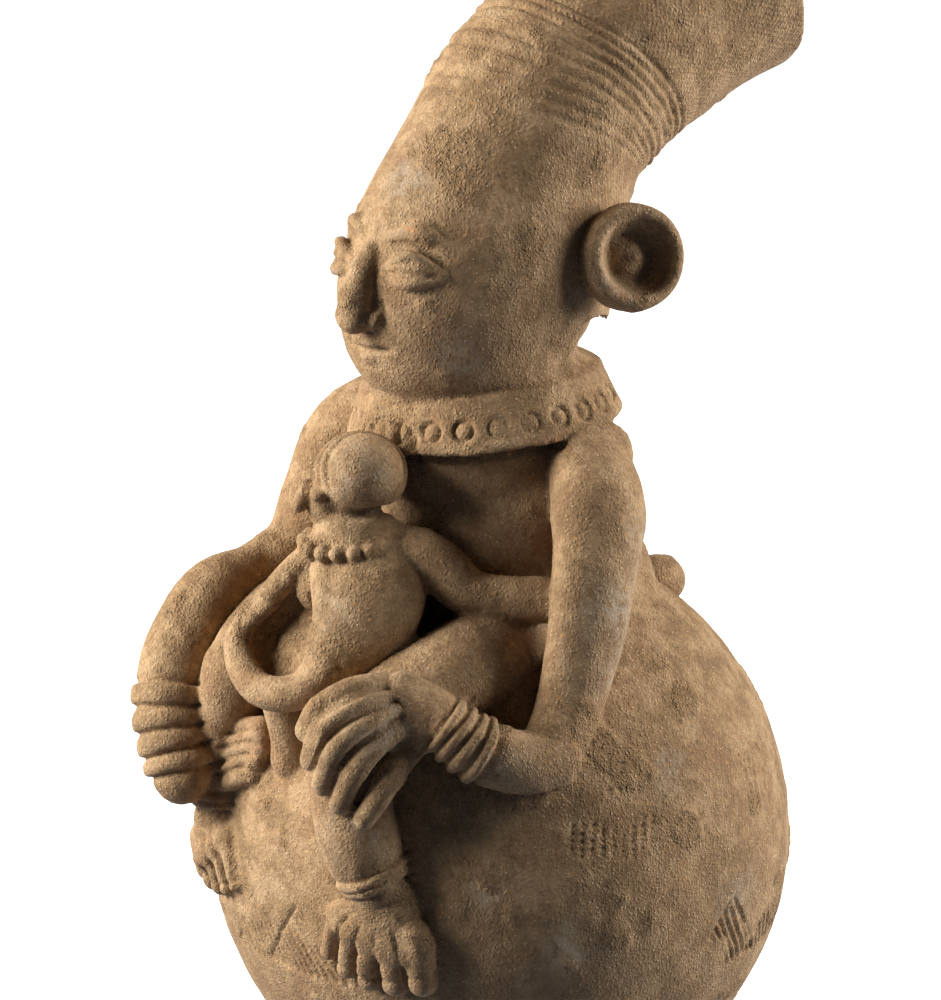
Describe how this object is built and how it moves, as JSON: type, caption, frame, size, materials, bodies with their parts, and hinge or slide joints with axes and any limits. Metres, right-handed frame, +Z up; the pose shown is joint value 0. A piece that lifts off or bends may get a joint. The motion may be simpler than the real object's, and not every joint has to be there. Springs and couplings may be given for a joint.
{
  "type": "anthropomorphic jar",
  "caption": "hollow fired-clay jar: a round pot with a seated figure on its crown, a small figure on the lap, and a swept-back coiffure opening as the mouth",
  "frame": {"origin": "centre of the flat spot under the pot", "axes": "+Z up, the seated figure faces -Y, its left side is +X"},
  "size_m": [0.184, 0.2122, 0.3935],
  "materials": {
    "terracotta": "unglazed, burnished in places, with fine sandy soil in the hollows"
  },
  "bodies": {
    "root": {"jar": "terracotta"}
  },
  "joints": []
}
